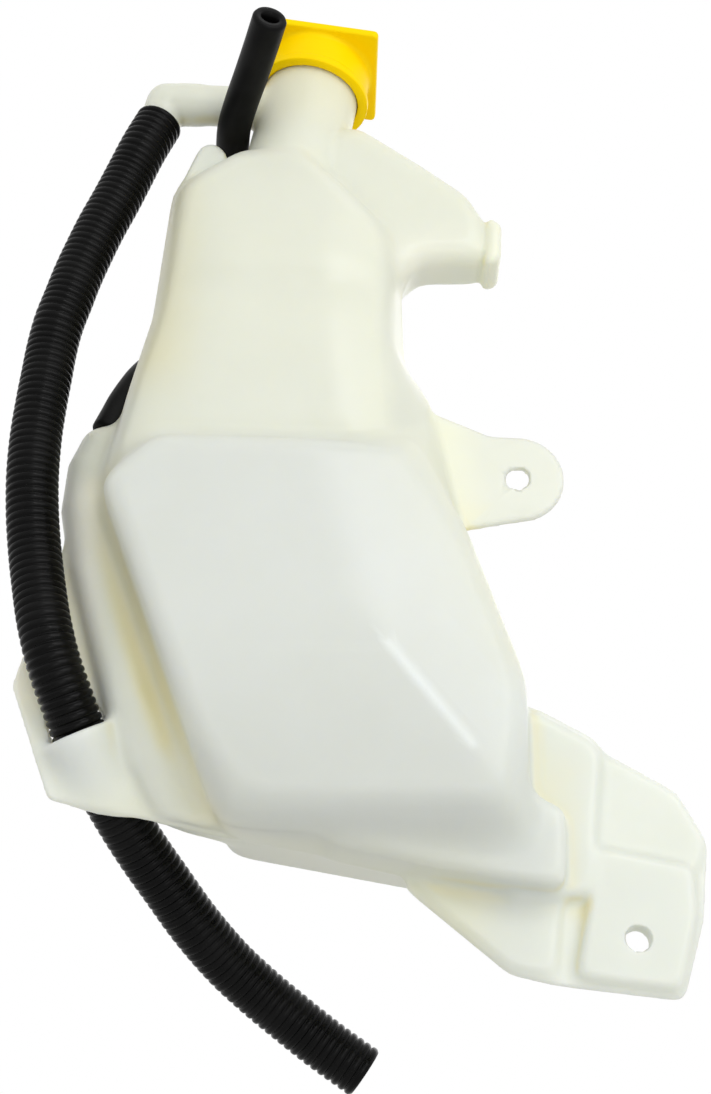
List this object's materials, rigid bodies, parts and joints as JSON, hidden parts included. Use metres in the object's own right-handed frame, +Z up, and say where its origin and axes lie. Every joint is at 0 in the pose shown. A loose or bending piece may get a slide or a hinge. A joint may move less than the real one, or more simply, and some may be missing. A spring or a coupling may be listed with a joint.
{
  "type": "coolant expansion tank",
  "caption": "Blow-moulded coolant expansion tank with a leaning filler neck, press-on cap, bolt tab and bracket, a smooth return hose and a corrugated overflow hose.",
  "frame": {"origin": "centre of the side tab's bolt hole, on the tab's rear seat", "axes": "+X to the tank's right as it is seen from the front, +Y to the back along the bolts, +Z up along the length of the shell; the moulding's parting plane is Y = 0"},
  "size_m": [0.2566, 0.1486, 0.4307],
  "materials": {
    "milky_plastic": "satin",
    "yellow_plastic": "gloss",
    "smooth_rubber": "satin",
    "corrugated_hose": "satin"
  },
  "bodies": {
    "shell": {"tank": "milky_plastic", "return_hose": "smooth_rubber", "overflow_hose": "corrugated_hose"},
    "cap": {"filler_cap": "yellow_plastic"}
  },
  "joints": [
    {"name": "cap_lift", "type": "slide", "parent": "shell", "child": "cap", "axis": [0.1727, 0.1045, 0.9794], "range_m": [0, 0.045]}
  ]
}
